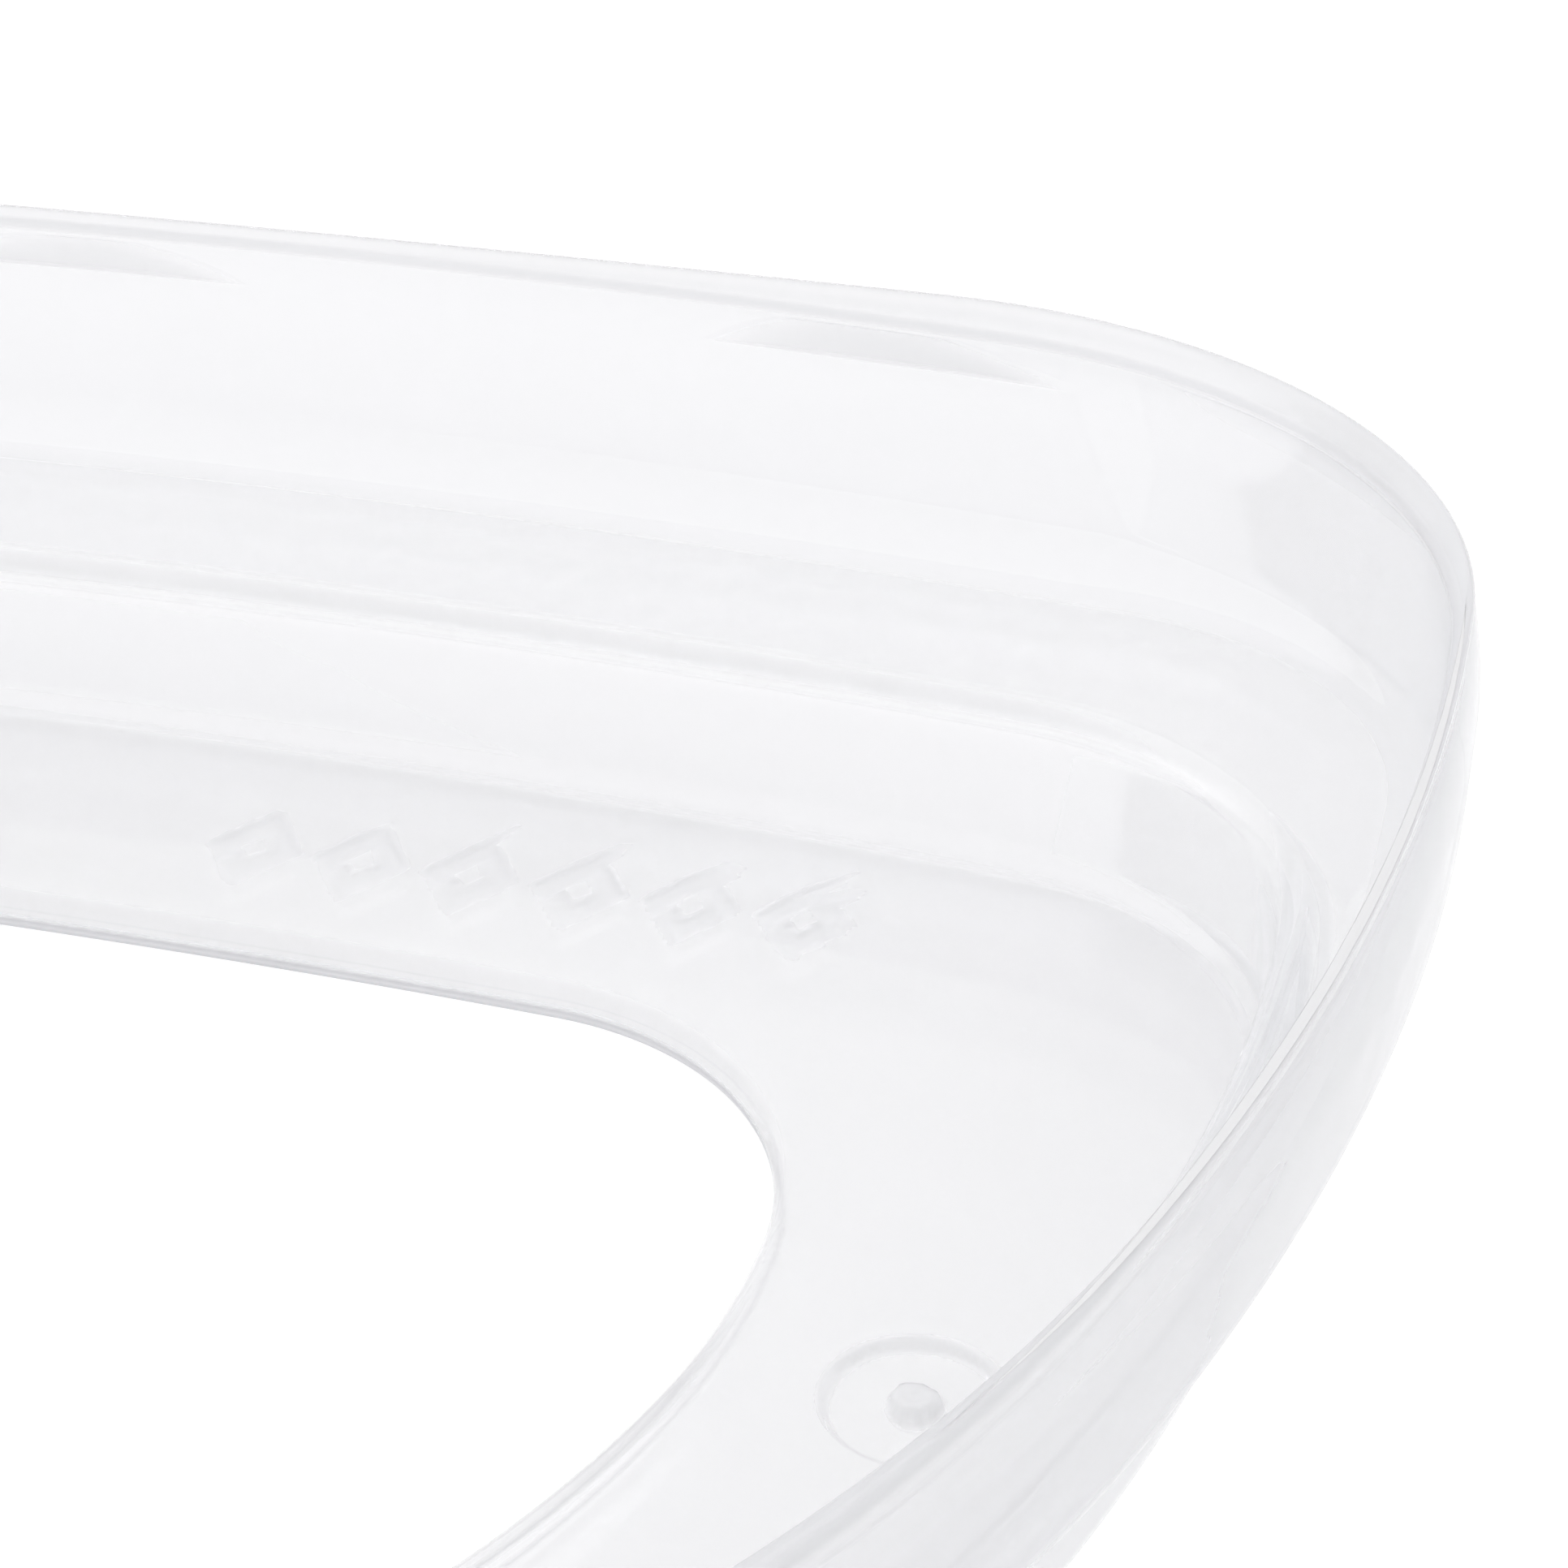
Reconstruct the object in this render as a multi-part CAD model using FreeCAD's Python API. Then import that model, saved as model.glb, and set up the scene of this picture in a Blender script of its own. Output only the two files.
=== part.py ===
"""One-piece moulded lip and cheek retractor, in millimetres.

The moulding is a closed ring round the mouth window.  Its section steps up from the window outwards:
a flat floor band, a riser, a ledge, an outer wall, and a lip that flares outwards along the wall's top.
It lies on its floor: +Z is up, +X is to the right along the long straight side, and +Y is towards
that straight side.  The origin is on the underside, at the middle of the overall length and depth.

The moulding is written as four zones: two stiff halves, and the two bands at the middle that bend
when the halves are squeezed together.
"""
import FreeCAD, Part
import math
import os
from FreeCAD import Vector

# ---- heights and walls ----------------------------------------------------------------------------
FLOOR_THICKNESS = 1.3
RISER_HEIGHT = 5.6          # top of the floor to top of the ledge
WALL_HEIGHT = 7.7           # top of the ledge to top of the lip
LEDGE_THICKNESS = 1.3
RISER_THICKNESS = 1.2
WALL_THICKNESS = 1.05
LIP_DEPTH = 2.3             # height over which the wall's outside flares into the lip
LIP_EDGE = 0.6              # upright edge of the lip

# ---- outlines: y of the straight side, then radius and turn of each arc of one half ----------------
# A half starts on the middle line, runs along the straight side, round the corner and down the side.
# One more arc always closes it square on the middle line.
STRAIGHT_TURN = 7.6
SIDE_START = 90.2           # heading where the corner ends and the side begins
SIDE_TURN = 18.4
WINDOW_STRAIGHT_TURN = 4.4
LIP_STRAIGHT_TURN = 2.2     # the lip stands out furthest at the corners, so it turns less before them

WINDOW_Y, WINDOW_STRAIGHT_R, WINDOW_CORNER_R, WINDOW_SIDE_R = 16.8, 330.0, 9.9, 25.0
RISER_Y, RISER_STRAIGHT_R, RISER_CORNER_R, RISER_SIDE_R = 29.3, 286.0, 10.7, 62.0
BASE_Y, BASE_STRAIGHT_R, BASE_CORNER_R, BASE_SIDE_R = 39.0, 304.0, 12.3, 94.0
RIM_Y, RIM_STRAIGHT_R, RIM_CORNER_R, RIM_SIDE_R = 41.1, 258.5, 19.4, 89.7
LIP_Y, LIP_STRAIGHT_R, LIP_CORNER_R, LIP_SIDE_R = 42.75, 834.5, 20.3, 101.9

# ---- rounding --------------------------------------------------------------------------------------
WINDOW_ROUND = 0.5          # both edges of the window
FOOT_FILLET = 1.0           # floor to riser, inside
NOSE_ROUND = 0.8            # riser to ledge
LEDGE_FILLET = 1.6          # ledge to wall, inside
OUTER_CORNER_ROUND = 2.2    # underside of the ledge to wall, outside

# ---- details ---------------------------------------------------------------------------------------
FLEX_HALF_WIDTH = 8.0       # each flexing band reaches this far to both sides of the middle line

RECESS_LENGTH = 13.0
RECESS_HEIGHT = 1.1
RECESS_DEPTH = 0.34          # at the middle of a recess's lower edge
RECESS_BOTTOM = 13.05       # height of its lower edge
RECESS_STEPS = (0.0, 30.6, 82.0)   # distance of each recess from the middle line, along the wall

GATE_X, GATE_Y = 40.0, -0.2
GATE_DISH_RADIUS = 2.4
GATE_DISH_DEPTH = 0.3
GATE_STUB_RADIUS = 0.65
GATE_STUB_HEIGHT = 0.45     # above the bottom of the dish

MARK_COUNT = 6
MARK_LENGTH = 4.5
MARK_WIDTH = 3.0
MARK_ISLAND = 0.45          # size of the raised lozenge inside a mark, as a share of the mark
MARK_DEPTH = 0.15
MARK_PITCH = 3.75
MARK_FIRST_X, MARK_ROW_Y = 13.0, 22.25

LEDGE_TOP = FLOOR_THICKNESS + RISER_HEIGHT
LEDGE_UNDERSIDE = LEDGE_TOP - LEDGE_THICKNESS
TOP = LEDGE_TOP + WALL_HEIGHT
LIP_START = TOP - LIP_EDGE - LIP_DEPTH
BEYOND = 200.0              # larger than the part, for cutting boxes


class Outline:
    """Half of a smooth closed outline, made of arcs that meet without a corner."""

    def __init__(self, y_start, arcs):
        self.y_start = y_start
        self.arcs = arcs

    def offset(self, distance):
        """The same outline moved outwards by a distance."""
        arcs = [(radius + distance, turn) for radius, turn in self.arcs]
        return Outline(self.y_start + distance, arcs)

    def towards(self, other, share):
        """The outline a share of the way from this one to another with the same turns."""
        pairs = zip(self.arcs, other.arcs)
        arcs = [(a + (b - a) * share, turn) for (a, turn), (b, _) in pairs]
        return Outline(self.y_start + (other.y_start - self.y_start) * share, arcs)

    def pieces(self):
        """Centre, radius and first and last heading (degrees clockwise from +X) of each arc."""
        x, y, heading = 0.0, self.y_start, 0.0
        found = []
        for radius, turn in self.arcs:
            first, last = math.radians(heading), math.radians(heading + turn)
            centre = (x - radius * math.sin(first), y - radius * math.cos(first))
            found.append((centre, radius, heading, heading + turn))
            x = centre[0] + radius * math.sin(last)
            y = centre[1] + radius * math.cos(last)
            heading += turn
        closing = x / math.sin(math.radians(heading))
        centre = (0.0, y - closing * math.cos(math.radians(heading)))
        found.append((centre, closing, heading, 180.0))
        return found

    def point(self, centre, radius, heading, z):
        angle = math.radians(heading)
        return Vector(centre[0] + radius * math.sin(angle), centre[1] + radius * math.cos(angle), z)

    def wire(self, z):
        """Closed wire of the right half at height z: the arcs, then straight up the middle line."""
        edges = []
        for centre, radius, first, last in self.pieces():
            start = self.point(centre, radius, first, z)
            middle = self.point(centre, radius, (first + last) / 2.0, z)
            end = self.point(centre, radius, last, z)
            edges.append(Part.Arc(start, middle, end).toShape())
        top = edges[0].Vertexes[0].Point
        bottom = edges[-1].Vertexes[-1].Point
        edges.append(Part.LineSegment(bottom, top).toShape())
        return Part.Wire(edges)

    def along(self, distance):
        """Position, outward direction (degrees clockwise from +Y) and radius at a distance along it."""
        for centre, radius, first, last in self.pieces():
            length = radius * math.radians(last - first)
            if distance <= length:
                heading = first + math.degrees(distance / radius)
                return self.point(centre, radius, heading, 0.0), heading, radius
            distance -= length
        return self.point(centre, radius, last, 0.0), last, radius


def outline(y_start, straight_radius, corner_radius, side_radius, straight_turn=STRAIGHT_TURN):
    corner_turn = SIDE_START - straight_turn
    arcs = [(straight_radius, straight_turn), (corner_radius, corner_turn), (side_radius, SIDE_TURN)]
    return Outline(y_start, arcs)


WINDOW = outline(WINDOW_Y, WINDOW_STRAIGHT_R, WINDOW_CORNER_R, WINDOW_SIDE_R, WINDOW_STRAIGHT_TURN)
RISER = outline(RISER_Y, RISER_STRAIGHT_R, RISER_CORNER_R, RISER_SIDE_R)
BASE = outline(BASE_Y, BASE_STRAIGHT_R, BASE_CORNER_R, BASE_SIDE_R)
RIM = outline(RIM_Y, RIM_STRAIGHT_R, RIM_CORNER_R, RIM_SIDE_R)
LIP = outline(LIP_Y, LIP_STRAIGHT_R, LIP_CORNER_R, LIP_SIDE_R, LIP_STRAIGHT_TURN)
NECK = BASE.towards(RIM, (LIP_START - LEDGE_TOP) / WALL_HEIGHT)


def prism(shape_outline, z_low, z_high):
    face = Part.Face(shape_outline.wire(z_low))
    return face.extrude(Vector(0, 0, z_high - z_low))


def loft(lower, z_low, upper, z_high):
    return Part.makeLoft([lower.wire(z_low), upper.wire(z_high)], True, True)


def edges_at(shape, z, shape_outline):
    """Edges of a shape that lie at height z on an outline."""
    found = []
    arcs = shape_outline.pieces()
    for edge in shape.Edges:
        middle = edge.valueAt((edge.FirstParameter + edge.LastParameter) / 2.0)
        if abs(edge.BoundBox.ZMin - z) > 1e-3 or abs(edge.BoundBox.ZMax - z) > 1e-3:
            continue
        gaps = [abs(math.hypot(middle.x - c[0], middle.y - c[1]) - r) for c, r, _, _ in arcs]
        if min(gaps) < 1e-3 and middle.x > 1e-3:
            found.append(edge)
    return found


def outer_shape():
    """The right half filled in: everything inside the outer skin."""
    step = prism(RISER.offset(RISER_THICKNESS), 0.0, LEDGE_UNDERSIDE)
    wall = loft(BASE.offset(WALL_THICKNESS), LEDGE_UNDERSIDE, NECK.offset(WALL_THICKNESS), LIP_START)
    wall = wall.makeFillet(OUTER_CORNER_ROUND, edges_at(wall, LEDGE_UNDERSIDE, BASE.offset(WALL_THICKNESS)))
    flare = loft(NECK.offset(WALL_THICKNESS), LIP_START, LIP, TOP - LIP_EDGE)
    edge = prism(LIP, TOP - LIP_EDGE, TOP)
    return step.fuse([wall, flare, edge]).removeSplitter()


def inner_shape():
    """The hollow of the right half, above the floor and inside the wall."""
    well = prism(RISER, FLOOR_THICKNESS, LEDGE_TOP)
    well = well.makeFillet(FOOT_FILLET, edges_at(well, FLOOR_THICKNESS, RISER))
    bowl = loft(BASE, LEDGE_TOP, RIM, TOP)
    bowl = bowl.makeFillet(LEDGE_FILLET, edges_at(bowl, LEDGE_TOP, BASE))
    return well.fuse(bowl)


def right_ring():
    """The right half of the plain ring, with its window and the rounded nose of the ledge."""
    ring = outer_shape().cut(inner_shape())
    ring = ring.cut(prism(WINDOW, -1.0, TOP))
    ring = ring.makeFillet(NOSE_ROUND, edges_at(ring, LEDGE_TOP, RISER))
    window_edges = edges_at(ring, 0.0, WINDOW) + edges_at(ring, FLOOR_THICKNESS, WINDOW)
    return ring.makeFillet(WINDOW_ROUND, window_edges)


def recess_cutters():
    """Cutters for the pockets under the rim: flat above and below, and curved in plan like a disc.

    Each is square to the wall at its place, and its ends meet the wall, which curves away from it.
    """
    course = BASE.towards(RIM, (RECESS_BOTTOM - LEDGE_TOP) / WALL_HEIGHT)
    half = RECESS_LENGTH / 2.0
    cutters = []
    for distance in RECESS_STEPS:
        place, heading, radius = course.along(distance)
        sag = half ** 2 / (2.0 * radius)
        arc = Part.Arc(Vector(-half, -sag, 0), Vector(0, RECESS_DEPTH, 0), Vector(half, -sag, 0))
        chord = Part.LineSegment(Vector(half, -sag, 0), Vector(-half, -sag, 0))
        plan = Part.Face(Part.Wire([arc.toShape(), chord.toShape()]))
        cutter = plan.extrude(Vector(0, 0, RECESS_HEIGHT))
        cutter.rotate(Vector(0, 0, 0), Vector(0, 0, 1), -heading)
        cutter.translate(Vector(place.x, place.y, RECESS_BOTTOM))
        cutters.append(cutter)
    return cutters


def add_gate(ring):
    """A shallow round dish in the floor with the stub of the gate at its centre."""
    bottom = FLOOR_THICKNESS - GATE_DISH_DEPTH
    foot = Vector(GATE_X, GATE_Y, bottom)
    dish = Part.makeCylinder(GATE_DISH_RADIUS, 1.0, foot)
    stub = Part.makeCylinder(GATE_STUB_RADIUS, GATE_STUB_HEIGHT, foot)
    return ring.cut(dish).fuse(stub)


def lozenge(x, y, size):
    """An upright lozenge through the underside, centred on (x, y), its size a share of a mark's."""
    across, along = MARK_WIDTH / 2.0 * size, MARK_LENGTH / 2.0 * size
    corners = [(x + across, y), (x, y + along), (x - across, y), (x, y - along), (x + across, y)]
    outline_wire = Part.makePolygon([Vector(cx, cy, -MARK_DEPTH) for cx, cy in corners])
    return Part.Face(outline_wire).extrude(Vector(0, 0, 2 * MARK_DEPTH))


def mark_cutters():
    """A row of plain lozenge rings, sunk into the underside of the straight side's floor band."""
    places = [MARK_FIRST_X + index * MARK_PITCH for index in range(MARK_COUNT)]
    return [lozenge(x, MARK_ROW_Y, 1.0).cut(lozenge(x, MARK_ROW_Y, MARK_ISLAND)) for x in places]


def mirrored(shape):
    return shape.mirror(Vector(0, 0, 0), Vector(1, 0, 0))


def band(y_low):
    """Cutting box round one flexing band, from y_low towards its side of the window."""
    return Part.makeBox(2 * FLEX_HALF_WIDTH, BEYOND, BEYOND, Vector(-FLEX_HALF_WIDTH, y_low, -1.0))


def side(x_low):
    return Part.makeBox(BEYOND, 2 * BEYOND, BEYOND, Vector(x_low, -BEYOND, -1.0))


def write(shape, node):
    solids = shape.Solids
    if len(solids) != 1 or not shape.isValid():
        raise ValueError("%s: %d solids, valid %s" % (node, len(solids), shape.isValid()))
    solids[0].exportStep("parts/%s.step" % node)
    print("%-18s %9.1f mm3" % (node, solids[0].Volume))


def main():
    os.makedirs("parts", exist_ok=True)
    right = right_ring().cut(recess_cutters())
    left = mirrored(right)
    marked = right.cut(mark_cutters())
    whole = marked.fuse(left).removeSplitter()
    write(add_gate(whole.common(side(FLEX_HALF_WIDTH))), "right_half")
    write(whole.common(side(-FLEX_HALF_WIDTH - BEYOND)), "left_half")
    write(whole.common(band(0.0)), "upper_flex_band")
    write(whole.common(band(-BEYOND)), "lower_flex_band")


main()
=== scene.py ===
"""Clear one-piece lip and cheek retractor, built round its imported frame.

The moulding is one closed surface: a section of five courses carried round the mouth window.  Sizes
in the classes are in millimetres and become metres when the mesh is filled.  +Z is up, +X runs
along the long straight side, +Y is towards that side, and the underside of the floor is at z = 0.
"""
import logging
from dataclasses import dataclass, field
from enum import Enum

import bpy
import numpy as np
from mathutils import Matrix, Vector


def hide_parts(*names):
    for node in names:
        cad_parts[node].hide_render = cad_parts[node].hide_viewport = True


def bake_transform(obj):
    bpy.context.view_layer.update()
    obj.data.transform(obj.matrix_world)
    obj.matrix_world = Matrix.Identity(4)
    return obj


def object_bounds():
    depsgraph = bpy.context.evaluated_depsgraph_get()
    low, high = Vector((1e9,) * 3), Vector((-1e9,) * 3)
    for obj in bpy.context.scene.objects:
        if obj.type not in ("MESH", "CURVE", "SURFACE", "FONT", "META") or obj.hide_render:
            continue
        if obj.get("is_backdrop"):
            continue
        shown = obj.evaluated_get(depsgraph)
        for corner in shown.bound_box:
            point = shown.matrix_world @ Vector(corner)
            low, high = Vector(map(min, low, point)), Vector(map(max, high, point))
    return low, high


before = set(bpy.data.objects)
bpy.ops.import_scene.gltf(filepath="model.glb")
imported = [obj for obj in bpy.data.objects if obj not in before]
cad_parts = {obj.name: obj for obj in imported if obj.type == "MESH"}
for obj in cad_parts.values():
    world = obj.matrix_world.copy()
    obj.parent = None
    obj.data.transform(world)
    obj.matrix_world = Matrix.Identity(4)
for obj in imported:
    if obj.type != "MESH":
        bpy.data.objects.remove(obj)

LOG = logging.getLogger("retractor")
METRES = 0.001              # one millimetre
DULL_AND_SHADE = "dull_and_shade"               # attribute of the mesh: 0 where it is polished, 1 where it is greyed and matt; on the edges, pockets and near outside the grey is painted shade
ROUND_HANDLE = 0.5523       # handle of a cubic curve that follows a quarter circle
SIDE_LEG = 2                # number of the side's arc in an outline, counted from 0
GATE_SAMPLES = 201          # places at which the side's arc is looked up for the gate


class Course(Enum):
    """The outlines that the section is hung on, from the window outwards."""

    WINDOW = 0
    RISER = 1
    BASE = 2
    RIM = 3
    LIP = 4


class Zone(Enum):
    """Stretches of the section that carry a detail of their own."""

    PLAIN = 0
    FLOOR_TOP = 1
    WALL_INSIDE = 2
    UNDERSIDE = 3


def smooth_step(low: float, high: float, value: np.ndarray) -> np.ndarray:
    """Share that rises from 0 at low to 1 at high.

    Formula: with t the clipped share of the way, three t squared less two t cubed.

    Args:
        low: Value where the step begins.
        high: Value where the step is complete.
        value: Values to look up.

    Returns:
        Array of shares, in the shape of value.
    """
    t = np.clip((value - low) / (high - low), 0.0, 1.0)
    return t * t * (3.0 - 2.0 * t)


@dataclass(frozen=True)
class Outline:
    """Half of a smooth closed outline, made of arcs that meet without a corner.

    The half starts on the middle line, runs along the straight side, round the corner and down the
    side.  A fourth arc closes it square on the middle line.  Turns are in degrees.
    """

    y_start: float
    straight_radius: float
    corner_radius: float
    side_radius: float
    straight_turn: float = 7.6
    side_start: float = 90.2
    side_turn: float = 18.4

    def headings(self) -> np.ndarray:
        """Headings where the four arcs begin and end, in radians clockwise from +X."""
        side_end = self.side_start + self.side_turn
        return np.radians([0.0, self.straight_turn, self.side_start, side_end, 180.0])

    def arcs(self) -> tuple[np.ndarray, np.ndarray]:
        """Centres and radii of the four arcs.

        Formula: two arcs share the outward direction where they meet, so the next centre is the last
        one moved back along it by the growth of the radius.  The closing centre lies on x = 0.

        Returns:
            Centres, four by two, and the four radii.
        """
        radii = np.array([self.straight_radius, self.corner_radius, self.side_radius])
        headings = self.headings()
        outward = np.stack([np.sin(headings), np.cos(headings)], axis=1)
        moves = np.diff(radii)[:, None] * outward[1:3]
        first = np.array([[0.0, self.y_start - self.straight_radius]])
        centres = np.concatenate([first, first - np.cumsum(moves, axis=0)])
        end = centres[2] + radii[2] * outward[3]
        closing = end[0] / outward[3, 0]
        last = np.array([[0.0, end[1] - closing * outward[3, 1]]])
        return np.concatenate([centres, last]), np.append(radii, closing)

    def trace(self, leg: np.ndarray, share: np.ndarray) -> tuple[np.ndarray, np.ndarray]:
        """Points and outward directions of the right half.

        Formula: the heading goes evenly from the start to the end of its arc, and the point is the
        arc's centre plus the radius times the outward direction, (sine, cosine) of the heading.

        Args:
            leg: Number of the arc for each column, 0 to 3.
            share: Share of the way along that arc.

        Returns:
            Points and unit outward directions, columns by two.
        """
        headings = self.headings()
        centres, radii = self.arcs()
        heading = headings[leg] + share * (headings[leg + 1] - headings[leg])
        outward = np.stack([np.sin(heading), np.cos(heading)], axis=1)
        return centres[leg] + radii[leg, None] * outward, outward

    def distance(self, leg: np.ndarray, share: np.ndarray) -> np.ndarray:
        """Length from the middle line to each column.

        Formula: lengths of the arcs already passed, plus the share of the present one.

        Args:
            leg: Number of the arc for each column.
            share: Share of the way along that arc.

        Returns:
            Length along the outline for each column.
        """
        _, radii = self.arcs()
        lengths = radii * np.diff(self.headings())
        passed = np.concatenate([[0.0], np.cumsum(lengths)])
        return passed[leg] + share * lengths[leg]


@dataclass(frozen=True)
class RingColumns:
    """Stations round the ring: finer where the details are, plainer on the unmarked half."""

    fine_straight: int = 150
    fine_corner: int = 46
    side_before_gate: int = 12
    side_at_gate: int = 36
    after_gate: int = 58
    gate_margin: float = 4.0
    plain_counts: tuple[int, int, int, int] = (40, 28, 20, 32)

    def stations(self, joints: np.ndarray, gate: float) -> tuple[np.ndarray, np.ndarray, np.ndarray]:
        """All stations of the closed ring.

        Formula: the right half's stations are evenly spaced headings between marked ones, and a
        heading's leg and share are its place among the headings where the legs meet.  The left half
        comes back mirrored, so each station on the middle line is there once.

        Args:
            joints: Headings where the four legs begin and end.
            gate: Heading of the gate, in the same unit.

        Returns:
            Leg number, share and side, +1 for right and -1 for left, of each station.
        """
        margin = np.radians(self.gate_margin)
        marked = [joints[0], joints[1], joints[2], gate - margin, gate + margin, joints[4]]
        counts = [self.fine_straight, self.fine_corner, self.side_before_gate, self.side_at_gate,
                  self.after_gate]
        right = np.interp(self.spread(marked, counts), joints, np.arange(len(joints)))
        left = np.interp(self.spread(list(joints), list(self.plain_counts)), joints,
                         np.arange(len(joints)))
        place = np.concatenate([right, [len(joints) - 1.0], left[:0:-1]])
        leg = np.minimum(place.astype(int), len(joints) - 2)
        facing = np.where(np.arange(len(place)) > len(right), -1.0, 1.0)
        return leg, place - leg, facing

    def spread(self, marked: list[float], counts: list[int]) -> np.ndarray:
        """Evenly spaced values from each marked one up to the next.

        Args:
            marked: Rising values.
            counts: Number of values from each marked one, without the next.

        Returns:
            All values, without the last marked one.
        """
        return np.concatenate([np.linspace(low, high, count, endpoint=False)
                               for low, high, count in zip(marked, marked[1:], counts)])


class SectionRows:
    """The closed section as a list of stations, each a mix of courses, an offset and a height."""

    OFFSET = len(Course)
    HEIGHT = len(Course) + 1

    def __init__(self) -> None:
        """Start with no rows, and with rows that are polished until ground says otherwise."""
        self.rows: list[np.ndarray] = []
        self.zones: list[np.ndarray] = []
        self.hazes: list[np.ndarray] = []
        self.ground = 0.0

    @classmethod
    def station(cls, height: float, offset: float, **shares: float) -> np.ndarray:
        """One place on the section.

        Args:
            height: Height above the underside.
            offset: Distance outwards from the mixed course.
            **shares: Share of each course, by its name in lower case.

        Returns:
            Course shares, offset and height in one array.
        """
        row = np.zeros(cls.HEIGHT + 1)
        for name, share in shares.items():
            row[Course[name.upper()].value] = share
        row[cls.OFFSET], row[cls.HEIGHT] = offset, height
        return row

    def run(self, start: np.ndarray, end: np.ndarray, shares: np.ndarray, zone: Zone) -> None:
        """Add a straight stretch, without its end.

        Args:
            start: Station where it starts.
            end: Station where the next stretch starts.
            shares: Shares of the way at which there is a row.
            zone: The detail it carries.
        """
        self.rows.append(start + shares[:, None] * (end - start))
        self.zones.append(np.full(len(shares), zone.value))
        self.hazes.append(np.full(len(shares), self.ground))

    def bend(self, start: np.ndarray, corner: np.ndarray, end: np.ndarray, count: int,
             dull_and_shade: float = 0.0) -> None:
        """Add a rounded corner, without its end.

        Formula: a cubic curve from start to end whose two handles lie a little over half way to the
        corner, which for a square corner is a quarter circle.  The greying, painted edge shade with a
        rougher finish, is greatest half way and falls off as the root of a half sine wave.

        Args:
            start: Station where the rounding starts.
            corner: Station of the sharp corner.
            end: Station where the rounding ends.
            count: Number of rows.
            dull_and_shade: How matt the edge is at the middle of the rounding, and how much painted shade
                greys it.
        """
        t = np.linspace(0.0, 1.0, count, endpoint=False)[:, None]
        first = start + ROUND_HANDLE * (corner - start)
        second = end + ROUND_HANDLE * (corner - end)
        curve = ((1 - t) ** 3 * start + 3 * (1 - t) ** 2 * t * first
                 + 3 * (1 - t) * t ** 2 * second + t ** 3 * end)
        self.rows.append(curve)
        self.zones.append(np.full(count, Zone.PLAIN.value))
        self.hazes.append(np.maximum(self.ground, dull_and_shade * np.sin(np.pi * t[:, 0]) ** 0.5))

    def finished(self) -> tuple[np.ndarray, np.ndarray, np.ndarray]:
        """All rows in one array, the zone of each and the greying of each, matt finish and painted shade.
        """
        return np.concatenate(self.rows), np.concatenate(self.zones), np.concatenate(self.hazes)


@dataclass(frozen=True)
class GripRecesses:
    """Shallow pockets under the rim, flat below and curved in plan, as a disc cutter leaves them."""

    length: float = 13.0
    depth: float = 0.34
    low: float = 13.05
    high: float = 14.15
    edge: float = 0.03
    # Painted shade: the pockets are greyed more where they are deeper, fully at the given depth
    dull_and_shade: float = 0.28
    pocket_shade_depth: float = 0.2
    places: tuple[float, ...] = (0.0, 30.6, 82.0)
    edge_rows: tuple[float, ...] = (-4.0, -2.0, -1.0, -0.4, 0.4, 1.0, 2.0, 4.0)
    rows_inside: int = 5
    inset: float = 0.22
    clear: float = 0.3

    def depth_along(self, distance: np.ndarray) -> np.ndarray:
        """Depth of the pockets at their lower edge.

        Formula: the full depth times one less the square of the distance from the middle of the
        nearest pocket over half its length, and nothing beyond its ends.

        Args:
            distance: Length along the wall from the middle line.

        Returns:
            Depth for each distance.
        """
        gaps = np.min(np.abs(distance[:, None] - np.array(self.places)), axis=1)
        return self.depth * np.clip(1.0 - (2.0 * gaps / self.length) ** 2, 0.0, None)

    def push(self, height: np.ndarray, distance: np.ndarray, lean: np.ndarray) -> np.ndarray:
        """How far the wall's inside goes outwards.

        Formula: the pocket's back is upright while the wall leans out, so the depth shrinks by the
        lean times the height above the lower edge, inside the pocket's height only.

        Args:
            height: Height of each row.
            distance: Length along the wall of each column.
            lean: Outward lean per height of each column.

        Returns:
            Outward move, rows by columns.
        """
        above = np.clip(height - self.low, 0.0, None)
        open_share = (smooth_step(self.low - self.edge, self.low + self.edge, height)
                      * (1.0 - smooth_step(self.high - self.edge, self.high + self.edge, height)))
        pocket = self.depth_along(distance)[None, :] - lean[None, :] * above[:, None]
        return np.clip(pocket, 0.0, None) * open_share[:, None]


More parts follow.
